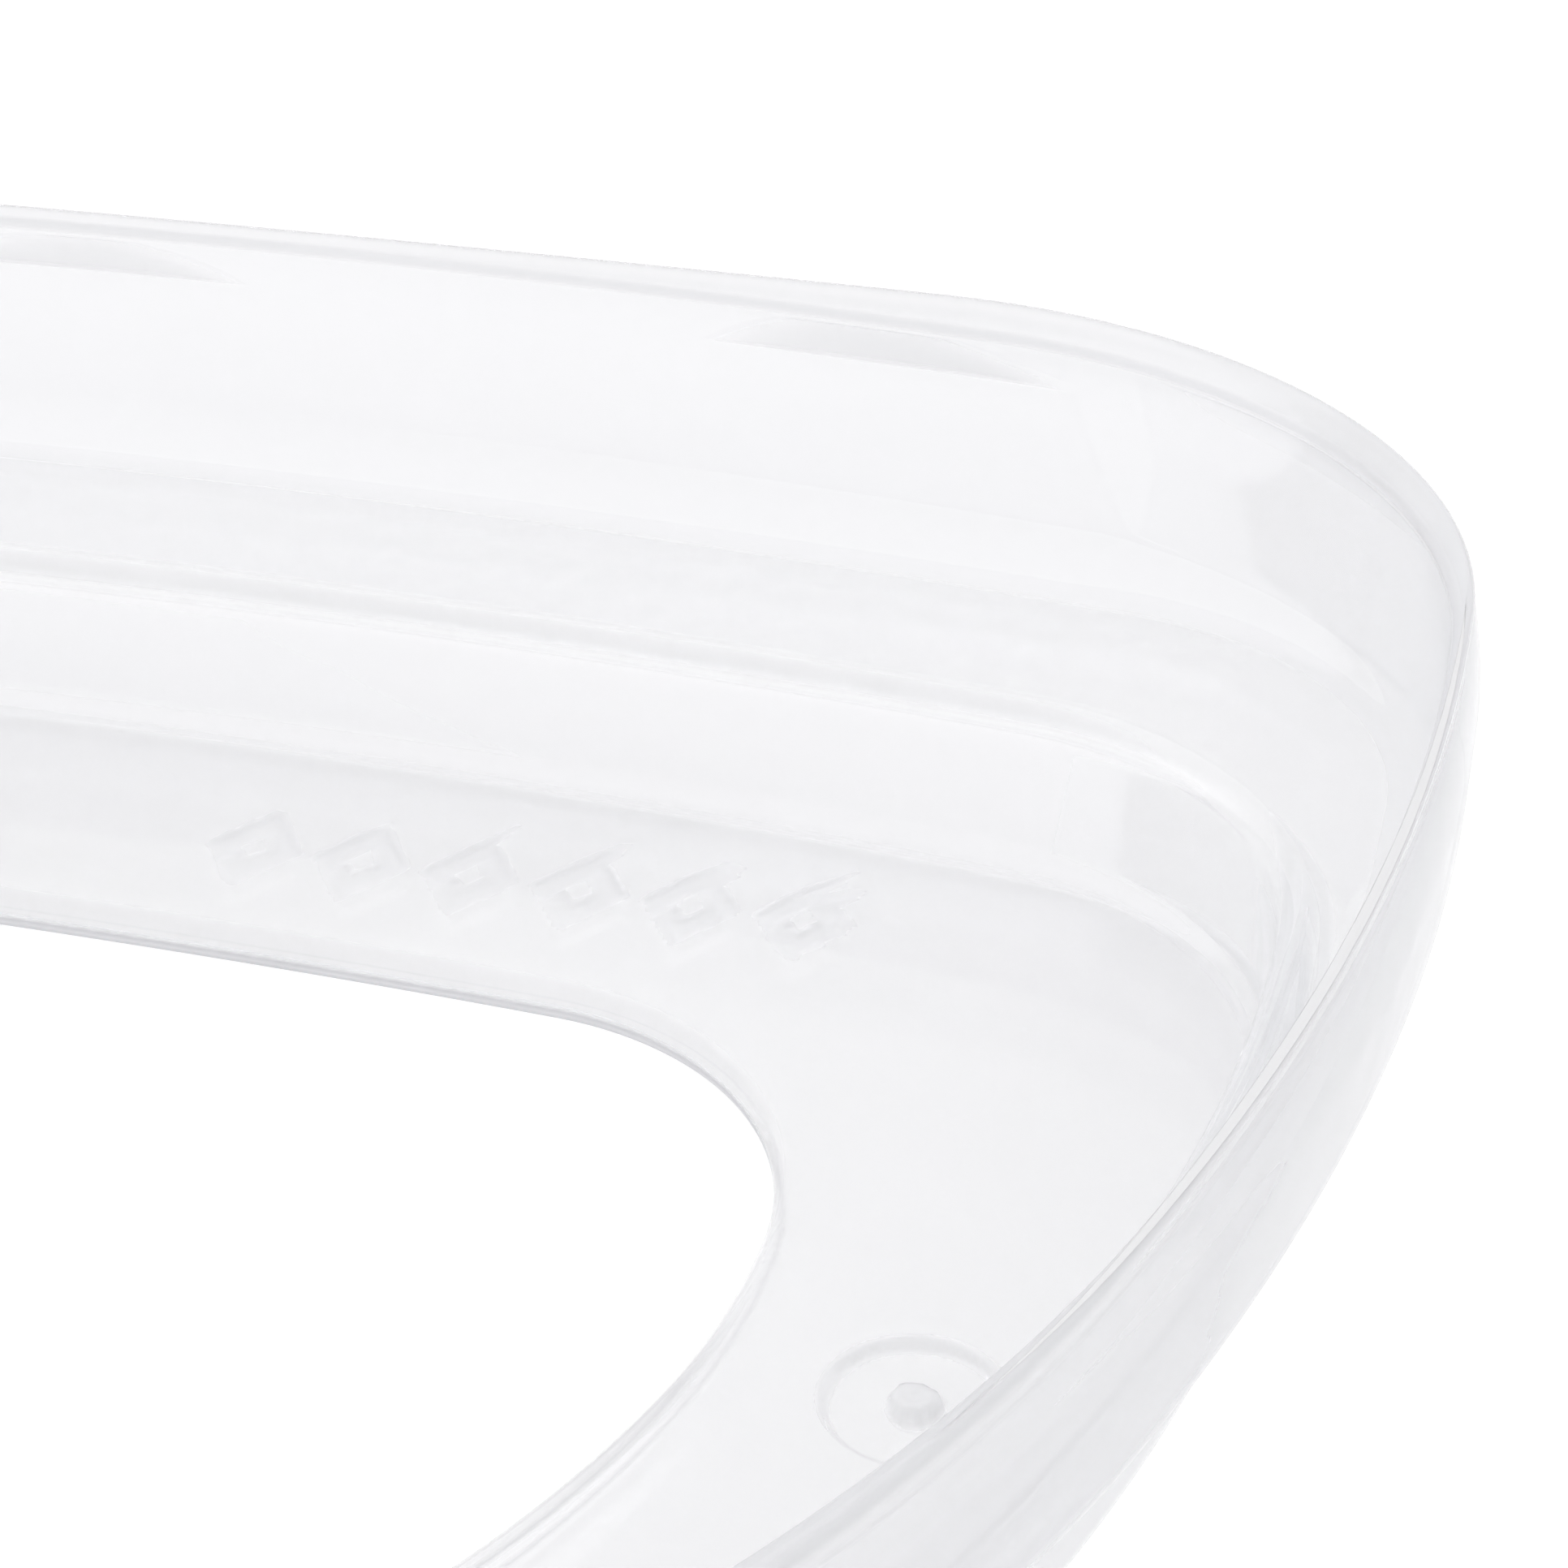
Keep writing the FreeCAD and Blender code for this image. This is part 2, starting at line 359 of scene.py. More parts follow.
@dataclass(frozen=True)
class GateMark:
    """The round dish in the side's floor where the plastic came in, with its broken stub."""

    x: float = 40.0
    y: float = -0.2
    dish_radius: float = 2.4
    dish_depth: float = 0.3
    dish_edge: float = 0.13
    stub_radius: float = 0.66
    stub_height: float = 0.45
    stub_edge: float = 0.12
    stub_lobe: float = 0.07
    stub_lobes: float = 3.0
    stub_turn: float = 0.6
    stub_crater: float = 0.12
    stub_haze: float = 0.3
    rim_haze: float = 0.14
    rim_width: float = 0.28

    def lift(self, x: np.ndarray, y: np.ndarray) -> np.ndarray:
        """Height to add to the floor's top.

        Formula: less the dish's depth inside its radius, plus the stub's height inside the stub's
        radius, which swells and shrinks a few times round, less a small crater at its middle.

        Args:
            x: Position of each point.
            y: Position of each point.

        Returns:
            Height for each point.
        """
        reach = np.hypot(x - self.x, y - self.y)
        turn = np.arctan2(y - self.y, x - self.x)
        dish = 1.0 - smooth_step(self.dish_radius - self.dish_edge,
                                 self.dish_radius + self.dish_edge, reach)
        uneven = reach / (1.0 + self.stub_lobe * np.sin(self.stub_lobes * turn + self.stub_turn))
        stub = 1.0 - smooth_step(self.stub_radius - self.stub_edge,
                                 self.stub_radius + self.stub_edge, uneven)
        crater = 1.0 - smooth_step(0.0, 0.5 * self.stub_radius, uneven)
        return self.stub_height * stub - self.dish_depth * dish - self.stub_crater * crater

    def dull_and_shade(self, x: np.ndarray, y: np.ndarray) -> np.ndarray:
        """How dull the gate is: its stub, and a thin line round the dish.

        Formula: the stub's share of its dullness inside its radius, and the line's share of its own,
        which falls off to both sides of the dish's radius.

        Args:
            x: Position of each point.
            y: Position of each point.

        Returns:
            Haze for each point.
        """
        reach = np.hypot(x - self.x, y - self.y)
        stub = 1.0 - smooth_step(self.stub_radius, self.stub_radius + self.stub_edge, reach)
        line = 1.0 - smooth_step(0.0, self.rim_width, np.abs(reach - self.dish_radius))
        return np.maximum(self.stub_haze * stub, self.rim_haze * line)


@dataclass(frozen=True)
class LozengeMarks:
    """A row of plain lozenges sunk into the underside of the straight side's floor."""

    count: int = 6
    first_x: float = 13.0
    pitch: float = 3.75
    row_y: float = 22.25
    half_width: float = 1.5
    half_length: float = 2.25
    island: float = 0.45
    depth: float = 0.15
    edge: float = 0.09
    dull_and_shade: float = 0.18

    def sink(self, x: np.ndarray, y: np.ndarray) -> np.ndarray:
        """Depth of the lozenges at each point of the underside.

        Formula: in a lozenge's own axes the size of a point is its distance along over the half
        width plus its distance across over the half length, so that the outline has size one.  The
        depth is full between the island's size and one, and falls off over the edge.

        Args:
            x: Position of each point.
            y: Position of each point.

        Returns:
            Depth for each point.
        """
        number = np.clip(np.round((x - self.first_x) / self.pitch), 0, self.count - 1)
        along = x - self.first_x - number * self.pitch
        size = np.abs(along) / self.half_width + np.abs(y - self.row_y) / self.half_length
        outer = 1.0 - smooth_step(1.0 - self.edge, 1.0 + self.edge, size)
        inner = smooth_step(self.island - self.edge, self.island + self.edge, size)
        return self.depth * outer * inner


@dataclass(frozen=True)
class DullAndShadedPlaces:
    """How matt and grey the moulding's edges and outside are, from 0, polished, to 1.  The grey on the
    rim, lip and window edges and on the near outside is painted shade.

    A reach is the pair of +Y shares of the outward direction between which a level fades.
    """

    # Painted shade: the rim's rounding and the lip's edge are greyed as dark edge lines
    rim: float = 0.45
    lip: float = 0.4
    lip_top: float = 0.16
    outside: float = 0.14
    # Painted shade: the near part of the outside, which faces away from the brightest light, is greyed
    near_outside_shade: float = 0.36
    near_shade_reach: tuple[float, float] = (-0.45, 0.35)
    # Painted shade: a dark line along the window's edge on the straight side
    window: float = 0.9
    window_shade_reach: tuple[float, float] = (-0.1, 0.6)


@dataclass
class RetractorMoulding:
    """The whole moulding: sizes of its section, its outlines and the details it carries."""

    floor: float = 1.3
    ledge_top: float = 6.9
    ledge_underside: float = 5.6
    top: float = 14.6
    riser_thickness: float = 1.2
    wall_thickness: float = 1.05
    lip_start: float = 11.7
    lip_edge: float = 0.6
    lip_under_round: float = 0.12
    flare_share: float = 0.12
    throat_rise: float = 1.3
    neck_drop: float = 0.8
    window_round_top: float = 0.6
    window_round_low: float = 0.5
    foot_fillet: float = 1.0
    nose_round: float = 0.8
    ledge_fillet: float = 1.6
    rim_round: float = 0.33
    lip_round: float = 0.28
    outer_corner_round: float = 2.2
    inner_corner_round: float = 0.6
    heel_round: float = 0.9
    guard: float = 0.03
    rim_gap: float = 0.01
    wall_steps: tuple[float, float] = (0.12, 0.5)
    wall_rows: int = 9
    floor_rows: tuple[tuple[float, float, int], ...] = ((0.02, 0.23, 5), (0.23, 0.77, 37), (0.77, 0.98, 5))
    sole_rows: tuple[tuple[float, float, int], ...] = ((0.02, 0.36, 5), (0.36, 0.84, 30), (0.84, 0.98, 3))
    outlines: tuple[Outline, ...] = (
        Outline(16.8, 330.0, 9.9, 25.0, straight_turn=4.4),
        Outline(29.3, 286.0, 10.7, 62.0),
        Outline(39.0, 304.0, 12.3, 94.0),
        Outline(41.1, 258.5, 19.4, 89.7),
        Outline(42.75, 834.5, 20.3, 101.9, straight_turn=2.2),
    )
    columns: RingColumns = field(default_factory=RingColumns)
    recesses: GripRecesses = field(default_factory=GripRecesses)
    gate: GateMark = field(default_factory=GateMark)
    marks: LozengeMarks = field(default_factory=LozengeMarks)
    dull_and_shaded: DullAndShadedPlaces = field(default_factory=DullAndShadedPlaces)

    def inner_wall(self, height: float) -> np.ndarray:
        """Station on the wall's inside, which goes straight from the base course to the rim."""
        share = (height - self.ledge_top) / (self.top - self.ledge_top)
        return SectionRows.station(height, 0.0, base=1.0 - share, rim=share)

    def outer_wall(self, height: float) -> np.ndarray:
        """Station on the wall's outside.

        Formula: the share of the rim grows evenly from the ledge's underside, so that the outside
        meets the inside's lean where the lip starts.

        Args:
            height: Height of the station.

        Returns:
            The station.
        """
        at_lip = (self.lip_start - self.ledge_top) / (self.top - self.ledge_top)
        share = at_lip * (height - self.ledge_underside) / (self.lip_start - self.ledge_underside)
        return SectionRows.station(height, self.wall_thickness, base=1.0 - share, rim=share)

    def throat(self) -> np.ndarray:
        """Station on the outside that the lip's underside would run into without its curve."""
        return self.outer_wall(self.lip_start + self.throat_rise)

    @staticmethod
    def spaced(*stretches: tuple[float, float, int]) -> np.ndarray:
        """Shares of a straight stretch with a guard row just inside both ends.

        Args:
            *stretches: Start, end and number of rows of each part between the guard rows.

        Returns:
            Rising shares from 0 to just under 1.
        """
        parts = [np.linspace(start, end, count, endpoint=False) for start, end, count in stretches]
        return np.concatenate([[0.0], *parts, [stretches[-1][1]]])

    def plain_rows(self) -> np.ndarray:
        """Shares of the rows of a short plain stretch."""
        return self.spaced((self.guard, 1.0 - self.guard, 4))

    def wall_heights(self) -> np.ndarray:
        """Heights of the rows on the wall's inside, close together at the pockets' two edges.

        Formula: two rows just above the ledge's fillet, even rows up to clear of the pocket, rows on
        both sides of its lower edge, even rows inside it and rows on both sides of its upper edge.

        Returns:
            Rising heights from the top of the ledge's fillet to just under the rim's rounding.
        """
        pocket = self.recesses
        edge = pocket.edge * np.array(pocket.edge_rows)
        start = self.ledge_top + self.ledge_fillet
        first, second = self.wall_steps
        even = np.linspace(start + second, pocket.low - pocket.clear, self.wall_rows)
        inside = np.linspace(pocket.low + pocket.inset, pocket.high - pocket.inset, pocket.rows_inside)
        rows = np.concatenate([[start, start + first], even, pocket.low + edge, inside,
                               pocket.high + edge])
        return rows[rows < self.top - self.rim_round - self.rim_gap]

    def section(self) -> tuple[np.ndarray, np.ndarray, np.ndarray]:
        """The closed section, from the window's upper edge outwards, over the lip and back below.

        Returns:
            Rows of course shares, offset and height, and the zone and the greying of each row, matt finish
            and painted shade.
        """
        made = SectionRows()
        floor_start = SectionRows.station(self.floor, self.window_round_top, window=1.0)
        ledge_start = self.add_floor_and_riser(made, floor_start)
        wall_high = self.add_ledge_and_wall(made, ledge_start)
        flare = self.add_rim_and_lip(made, wall_high)
        under_start = self.add_outside(made, flare)
        sole_start = self.add_riser_back(made, under_start)
        self.add_sole_and_window_edge(made, sole_start, floor_start)
        return made.finished()

    def add_floor_and_riser(self, made: SectionRows, floor_start: np.ndarray) -> np.ndarray:
        """Add the floor's top, the fillet at the riser's foot and the riser with its nose.

        Args:
            made: The section so far.
            floor_start: Station where the floor's top starts.

        Returns:
            Station where the ledge starts.
        """
        at, foot, nose = SectionRows.station, self.foot_fillet, self.nose_round
        floor_end = at(self.floor, -foot, riser=1.0)
        made.run(floor_start, floor_end, self.spaced(*self.floor_rows), Zone.FLOOR_TOP)
        riser_low = at(self.floor + foot, 0.0, riser=1.0)
        made.bend(floor_end, at(self.floor, 0.0, riser=1.0), riser_low, count=9)
        riser_high = at(self.ledge_top - nose, 0.0, riser=1.0)
        made.run(riser_low, riser_high, self.plain_rows(), Zone.PLAIN)
        ledge_start = at(self.ledge_top, nose, riser=1.0)
        made.bend(riser_high, at(self.ledge_top, 0.0, riser=1.0), ledge_start, count=8)
        return ledge_start

    def add_ledge_and_wall(self, made: SectionRows, ledge_start: np.ndarray) -> np.ndarray:
        """Add the ledge, its fillet and the wall's inside.

        Args:
            made: The section so far.
            ledge_start: Station where the ledge starts.

        Returns:
            Station at the top of the wall's inside.
        """
        at, fillet = SectionRows.station, self.ledge_fillet
        ledge_end = at(self.ledge_top, -fillet, base=1.0)
        made.run(ledge_start, ledge_end, self.plain_rows(), Zone.PLAIN)
        wall_low = self.inner_wall(self.ledge_top + fillet)
        made.bend(ledge_end, at(self.ledge_top, 0.0, base=1.0), wall_low, count=11)
        heights = self.wall_heights()
        wall_high = self.inner_wall(self.top - self.rim_round)
        shares = (heights - heights[0]) / (self.top - self.rim_round - heights[0])
        made.run(wall_low, wall_high, shares, Zone.WALL_INSIDE)
        return wall_high

    def add_rim_and_lip(self, made: SectionRows, wall_high: np.ndarray) -> np.ndarray:
        """Add the rim's rounding, the lip's flat top and its thin rounded edge.

        Args:
            made: The section so far.
            wall_high: Station at the top of the wall's inside.

        Returns:
            Station just under the lip's edge.
        """
        at, dull_and_shaded = SectionRows.station, self.dull_and_shaded
        lip_in = at(self.top, self.rim_round, rim=1.0)
        # Painted shade: the rim's rounding is greyed as a dark line
        made.bend(wall_high, at(self.top, 0.0, rim=1.0), lip_in, count=7, dull_and_shade=dull_and_shaded.rim)
        lip_out = at(self.top, -self.lip_round, lip=1.0)
        made.ground = dull_and_shaded.lip_top
        made.run(lip_in, lip_out, self.spaced((0.08, 0.92, 2)), Zone.PLAIN)
        brow = at(self.top - self.lip_round, 0.0, lip=1.0)
        # Painted shade: the lip's rounded edge is greyed as a dark outline
        made.bend(lip_out, at(self.top, 0.0, lip=1.0), brow, count=6, dull_and_shade=dull_and_shaded.lip)
        lip_low = self.top - self.lip_edge
        under_brow = at(lip_low + self.lip_under_round, 0.0, lip=1.0)
        made.run(brow, under_brow, np.array([0.0, 0.5]), Zone.PLAIN)
        corner = at(lip_low, 0.0, lip=1.0)
        flare = corner + self.flare_share * (self.throat() - corner)
        # Painted shade: the lip's lower corner is greyed as part of that outline
        made.bend(under_brow, corner, flare, count=5, dull_and_shade=dull_and_shaded.lip)
        return flare

    def add_outside(self, made: SectionRows, flare: np.ndarray) -> np.ndarray:
        """Add the curve under the lip, the wall's outside and the large rounding at its foot.

        Args:
            made: The section so far.
            flare: Station just under the lip's edge.

        Returns:
            Station where the ledge's underside starts.
        """
        made.ground = self.dull_and_shaded.outside
        neck = self.outer_wall(self.lip_start - self.neck_drop)
        made.bend(flare, self.throat(), neck, count=12)
        outer = self.outer_corner_round
        wall_foot = self.outer_wall(self.ledge_underside + outer)
        made.run(neck, wall_foot, self.spaced((0.05, 0.95, 5)), Zone.PLAIN)
        under_start = SectionRows.station(self.ledge_underside, self.wall_thickness - outer, base=1.0)
        made.bend(wall_foot, self.outer_wall(self.ledge_underside), under_start, count=13)
        made.ground = 0.0
        return under_start

    def add_riser_back(self, made: SectionRows, under_start: np.ndarray) -> np.ndarray:
        """Add the ledge's underside, the inner corner, the riser's back and its heel.

        Args:
            made: The section so far.
            under_start: Station where the ledge's underside starts.

        Returns:
            Station where the sole starts.
        """
        at, side = SectionRows.station, self.riser_thickness
        inner, heel = self.inner_corner_round, self.heel_round
        under_end = at(self.ledge_underside, side + inner, riser=1.0)
        made.run(under_start, under_end, self.plain_rows(), Zone.PLAIN)
        back_high = at(self.ledge_underside - inner, side, riser=1.0)
        made.bend(under_end, at(self.ledge_underside, side, riser=1.0), back_high, count=6)
        back_low = at(heel, side, riser=1.0)
        made.run(back_high, back_low, self.plain_rows(), Zone.PLAIN)
        sole_start = at(0.0, side - heel, riser=1.0)
        made.bend(back_low, at(0.0, side, riser=1.0), sole_start, count=8)
        return sole_start

    def add_sole_and_window_edge(self, made: SectionRows, sole_start: np.ndarray,
                                 floor_start: np.ndarray) -> None:
        """Add the underside and the window's edge, whose lower half is greyed as painted shade and made
        rough.

        Args:
            made: The section so far.
            sole_start: Station where the sole starts.
            floor_start: Station where the section began.
        """
        at, low = SectionRows.station, self.window_round_low
        sole_end = at(0.0, low, window=1.0)
        made.run(sole_start, sole_end, self.spaced(*self.sole_rows), Zone.UNDERSIDE)
        face_low = at(low, 0.0, window=1.0)
        # Painted shade: the window's lower rounding and face are greyed as a dark line
        made.bend(sole_end, at(0.0, 0.0, window=1.0), face_low, count=6, dull_and_shade=self.dull_and_shaded.window)
        face_high = at(self.floor - self.window_round_top, 0.0, window=1.0)
        made.ground = self.dull_and_shaded.window
        made.run(face_low, face_high, np.array([0.0]), Zone.PLAIN)
        made.ground = 0.0
        made.bend(face_high, at(self.floor, 0.0, window=1.0), floor_start, count=6)

    def gate_heading(self) -> float:
        """Heading at which the middle of the side's floor is level with the gate.

        Formula: the middle is half way between the window and riser outlines at the same heading.

        Returns:
            The heading in radians.
        """
        window, riser = self.outlines[Course.WINDOW.value], self.outlines[Course.RISER.value]
        share = np.linspace(0.0, 1.0, GATE_SAMPLES)
        leg = np.full(len(share), SIDE_LEG)
        middle = (window.trace(leg, share)[0] + riser.trace(leg, share)[0]) / 2.0
        joints = riser.headings()
        place = np.interp(-self.gate.y, -middle[:, 1], share)
        return float(joints[SIDE_LEG] + place * (joints[SIDE_LEG + 1] - joints[SIDE_LEG]))

    def wall_distance(self, leg: np.ndarray, share: np.ndarray) -> np.ndarray:
        """Length along the wall's inside, at the height of the pockets' lower edge.

        Formula: the base's and the rim's lengths, mixed by the share of the wall's height.

        Args:
            leg: Number of the arc for each column.
            share: Share of the way along that arc.

        Returns:
            Length from the middle line for each column.
        """
        high = (self.recesses.low - self.ledge_top) / (self.top - self.ledge_top)
        base = self.outlines[Course.BASE.value].distance(leg, share)
        return (1.0 - high) * base + high * self.outlines[Course.RIM.value].distance(leg, share)

    def faded(self, rows: np.ndarray, row_haze: np.ndarray, outward: np.ndarray) -> np.ndarray:
        """Greying of each point, matt finish and painted shade, before the details.

        Formula: the greying of the rows, with the painted shade of the window's edge fading out away from
        the straight side. On the wall's outside it is at least the near level of painted shade, which
        fades out towards that side.

        Args:
            rows: The section's rows.
            row_haze: Haze of each row.
            outward: Outward directions, courses by columns by two.

        Returns:
            Greying with painted shade, rows by columns.
        """
        dull_and_shaded, height = self.dull_and_shaded, rows[:, SectionRows.HEIGHT]
        dull_and_shade = np.repeat(row_haze[:, None], outward.shape[1], axis=1)
        # The window edge's painted shade fades out away from the straight side
        edge = rows[:, Course.WINDOW.value] == 1.0
        dull_and_shade[edge] *= smooth_step(*dull_and_shaded.window_shade_reach, outward[Course.WINDOW.value][:, 1])
        out = smooth_step(0.5 * self.wall_thickness, self.wall_thickness, rows[:, SectionRows.OFFSET])
        outside = np.where(height > self.ledge_underside + self.guard, out, 0.0)
        # Painted shade on the near part of the outside
        near = 1.0 - smooth_step(*dull_and_shaded.near_shade_reach, outward[Course.RIM.value][:, 1])
        return np.maximum(dull_and_shade, dull_and_shaded.near_outside_shade * outside[:, None] * near[None, :])

    def surface(self) -> tuple[np.ndarray, np.ndarray]:
        """All points of the moulding, and how much it is greyed at each, as matt finish and painted shade.

        Formula: each point is the mix of the five outlines' points at its column, moved by the row's
        offset along the mixed outward direction, at the row's height.  The left half is the right
        half with x turned round.  The details then move the points of their own zones.

        Returns:
            Points in metres, rows by columns by three, and haze from 0 to 1, rows by columns.
        """
        joints = self.outlines[Course.RISER.value].headings()
        leg, share, facing = self.columns.stations(joints, self.gate_heading())
        rows, zones, row_haze = self.section()
        traced = [outline.trace(leg, share) for outline in self.outlines]
        points = np.stack([point for point, _ in traced])
        outward = np.stack([direction for _, direction in traced])
        mix = rows[:, :len(Course)]
        normal = np.einsum("rk,kcx->rcx", mix, outward)
        normal /= np.linalg.norm(normal, axis=2, keepdims=True)
        offset = np.repeat(rows[:, SectionRows.OFFSET, None], len(leg), axis=1)
        height = np.repeat(rows[:, SectionRows.HEIGHT, None], len(leg), axis=1)
        dull_and_shade = self.faded(rows, row_haze, outward)

        wall = zones == Zone.WALL_INSIDE.value
        spread = points[Course.RIM.value] - points[Course.BASE.value]
        lean = np.sum(spread * outward[Course.RIM.value], axis=1) / (self.top - self.ledge_top)
        push = self.recesses.push(rows[wall, SectionRows.HEIGHT], self.wall_distance(leg, share), lean)
        offset[wall] += push
        # Painted shade: the pockets are greyed by their depth
        dull_and_shade[wall] = self.recesses.dull_and_shade * smooth_step(0.0, self.recesses.pocket_shade_depth, push)

        plan = np.einsum("rk,kcx->rcx", mix, points) + offset[..., None] * normal
        right = facing > 0
        top = zones == Zone.FLOOR_TOP.value
        places = plan[top, :, 0], plan[top, :, 1]
        height[top] += np.where(right, self.gate.lift(*places), 0.0)
        dull_and_shade[top] = np.where(right, self.gate.dull_and_shade(*places), 0.0)
        below = zones == Zone.UNDERSIDE.value
        sunk = np.where(right, self.marks.sink(plan[below, :, 0], plan[below, :, 1]), 0.0)
        height[below] += sunk
        dull_and_shade[below] = self.marks.dull_and_shade * sunk / self.marks.depth
        plan[..., 0] *= facing
        return np.concatenate([plan, height[..., None]], axis=2) * METRES, dull_and_shade

    def mesh(self) -> bpy.types.Mesh:
        """The closed surface as a mesh of four-sided faces.

        Formula: the face of a row and column joins it to the next column and the next row, both
        counted round, so the surface has no edge.

        Returns:
            The new mesh, smooth and with its faces outwards.
        """
        points, dull_and_shade = self.surface()
        rows, columns = points.shape[:2]
        number = np.arange(rows * columns).reshape(rows, columns)
        beside = np.roll(number, -1, axis=1)
        corners = np.stack([number, beside, np.roll(beside, -1, axis=0),
                            np.roll(number, -1, axis=0)], axis=2).reshape(-1, 4)
        mesh = bpy.data.meshes.new("retractor_moulding")
        mesh.vertices.add(rows * columns)
        mesh.vertices.foreach_set("co", points.astype(np.float32).ravel())
        mesh.loops.add(corners.size)
        mesh.loops.foreach_set("vertex_index", corners.astype(np.int32).ravel())
        mesh.polygons.add(len(corners))
        mesh.polygons.foreach_set("loop_start", np.arange(0, corners.size, 4, dtype=np.int32))
        mesh.polygons.foreach_set("use_smooth", np.ones(len(corners), dtype=bool))
        mesh.update(calc_edges=True)
        mesh.validate()
        dull_and_shaded = mesh.attributes.new(DULL_AND_SHADE, "FLOAT", "POINT")
        dull_and_shaded.data.foreach_set("value", dull_and_shade.astype(np.float32).ravel())
        return mesh

    def build(self) -> bpy.types.Object:
        """Make the piece and link it to the scene.

        Returns:
            The piece's object.
        """
        piece = bpy.data.objects.new("retractor_moulding", self.mesh())
        bpy.context.scene.collection.objects.link(piece)
        return piece

    def dress(self, piece: bpy.types.Object) -> None:
        """Give the piece its finish, hide the CAD nodes it stands for and bake its place into the mesh.

        Args:
            piece: The finished moulding.
        """
        piece.data.materials.append(ClearPlastic().material())
        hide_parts("left_half", "right_half", "upper_flex_band", "lower_flex_band")
        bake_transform(piece)


@dataclass(frozen=True)
class ClearPlastic:
    """Clear moulded plastic: a trace of cool tint, faint flow marks and an uneven polish.

    Where the surface is matt it is rougher and lets less light through, and it is greyer; on the edges,
    the pockets and the near outside that grey is painted shade.
    """

    refraction: float = 1.49
    transmission: float = 0.6
    solidity: float = 0.65
    clear_tint: tuple[float, float, float] = (0.972, 0.967, 0.982)
    flow_tint: tuple[float, float, float] = (0.955, 0.952, 0.966)
    depth_tint: tuple[float, float, float] = (0.62, 0.64, 0.68)
    depth_density: float = 45.0
    smooth_roughness: float = 0.06
    uneven_roughness: float = 0.12
    # Grey that matt places and painted shade go towards
    dull_and_shade_tint: tuple[float, float, float] = (0.50, 0.50, 0.53)
    hazy_solidity: float = 0.92
    hazy_transmission: float = 0.15
    hazy_roughness: float = 0.45
    flow_scale: float = 70.0
    polish_scale: float = 420.0
    wear_low: float = 0.35
    wear_high: float = 0.7
    ripple_scale: float = 130.0
    ripple_height: float = 0.00004
    ripple_strength: float = 0.08

    def noise(self, nodes: bpy.types.Nodes, links: bpy.types.NodeLinks,
              coordinates: bpy.types.NodeSocket, scale: float, detail: float) -> bpy.types.NodeSocket:
        """A noise pattern on the piece's own coordinates.

        Args:
            nodes: The material's nodes.
            links: The material's links.
            coordinates: Object coordinates.
            scale: Number of cells in a metre.
            detail: Number of finer layers.

        Returns:
            The pattern's value.
        """
        pattern = nodes.new("ShaderNodeTexNoise")
        pattern.inputs["Scale"].default_value = scale
        pattern.inputs["Detail"].default_value = detail
        links.new(coordinates, pattern.inputs["Vector"])
        return pattern.outputs["Fac"]

    def tinted(self, nodes: bpy.types.Nodes, links: bpy.types.NodeLinks, share: bpy.types.NodeSocket,
               first: tuple[float, float, float],
               second: tuple[float, float, float]) -> bpy.types.ShaderNode:
        """A colour that goes from one to another.

        Args:
            nodes: The material's nodes.
            links: The material's links.
            share: Share of the second colour.
            first: Colour at 0.
            second: Colour at 1.

        Returns:
            The node that mixes them.
        """
        mix = nodes.new("ShaderNodeMix")
        mix.data_type = "RGBA"
        mix.inputs["A"].default_value = (*first, 1.0)
        mix.inputs["B"].default_value = (*second, 1.0)
        links.new(share, mix.inputs["Factor"])
        return mix

    def graded(self, nodes: bpy.types.Nodes, links: bpy.types.NodeLinks, share: bpy.types.NodeSocket,
               low: float, high: float) -> bpy.types.ShaderNode:
        """A number that goes evenly from one to another.

        Args:
            nodes: The material's nodes.
            links: The material's links.
            share: Share of the way.
            low: Number at the start of the share's range, which is 0 unless it is changed.
            high: Number at the end of the share's range, which is 1 unless it is changed.

        Returns:
            The node that grades it.
        """
        grade = nodes.new("ShaderNodeMapRange")
        grade.inputs["To Min"].default_value = low
        grade.inputs["To Max"].default_value = high
        links.new(share, grade.inputs["Value"])
        return grade

    def material(self) -> bpy.types.Material:
        """The finish as a node material.

        Returns:
            The new material.
        """
        made = bpy.data.materials.new("clear_moulded_plastic")
        made.use_nodes = True
        nodes, links = made.node_tree.nodes, made.node_tree.links
        shader = nodes["Principled BSDF"]
        shader.inputs["IOR"].default_value = self.refraction
        place = nodes.new("ShaderNodeTexCoord").outputs["Object"]
        # Map of matt finish and painted shade, read from the mesh
        dull_and_shade = nodes.new("ShaderNodeAttribute")
        dull_and_shade.attribute_name = DULL_AND_SHADE
        dull_and_shaded = dull_and_shade.outputs["Fac"]

        flow = self.noise(nodes, links, place, self.flow_scale, detail=3.0)
        tint = self.tinted(nodes, links, flow, self.clear_tint, self.flow_tint)
        # Painted shade: the base colour goes towards a mid grey where the map is high
        dulled_and_shaded = self.tinted(nodes, links, dull_and_shaded, self.clear_tint, self.dull_and_shade_tint)
        links.new(tint.outputs["Result"], dulled_and_shaded.inputs["A"])
        links.new(dulled_and_shaded.outputs["Result"], shader.inputs["Base Color"])

        wear = self.noise(nodes, links, place, self.polish_scale, detail=4.0)
        polish = self.graded(nodes, links, wear, self.smooth_roughness, self.uneven_roughness)
        polish.inputs["From Min"].default_value = self.wear_low
        polish.inputs["From Max"].default_value = self.wear_high
        rough = self.graded(nodes, links, dull_and_shaded, self.smooth_roughness, self.hazy_roughness)
        links.new(polish.outputs["Result"], rough.inputs["To Min"])
        links.new(rough.outputs["Result"], shader.inputs["Roughness"])

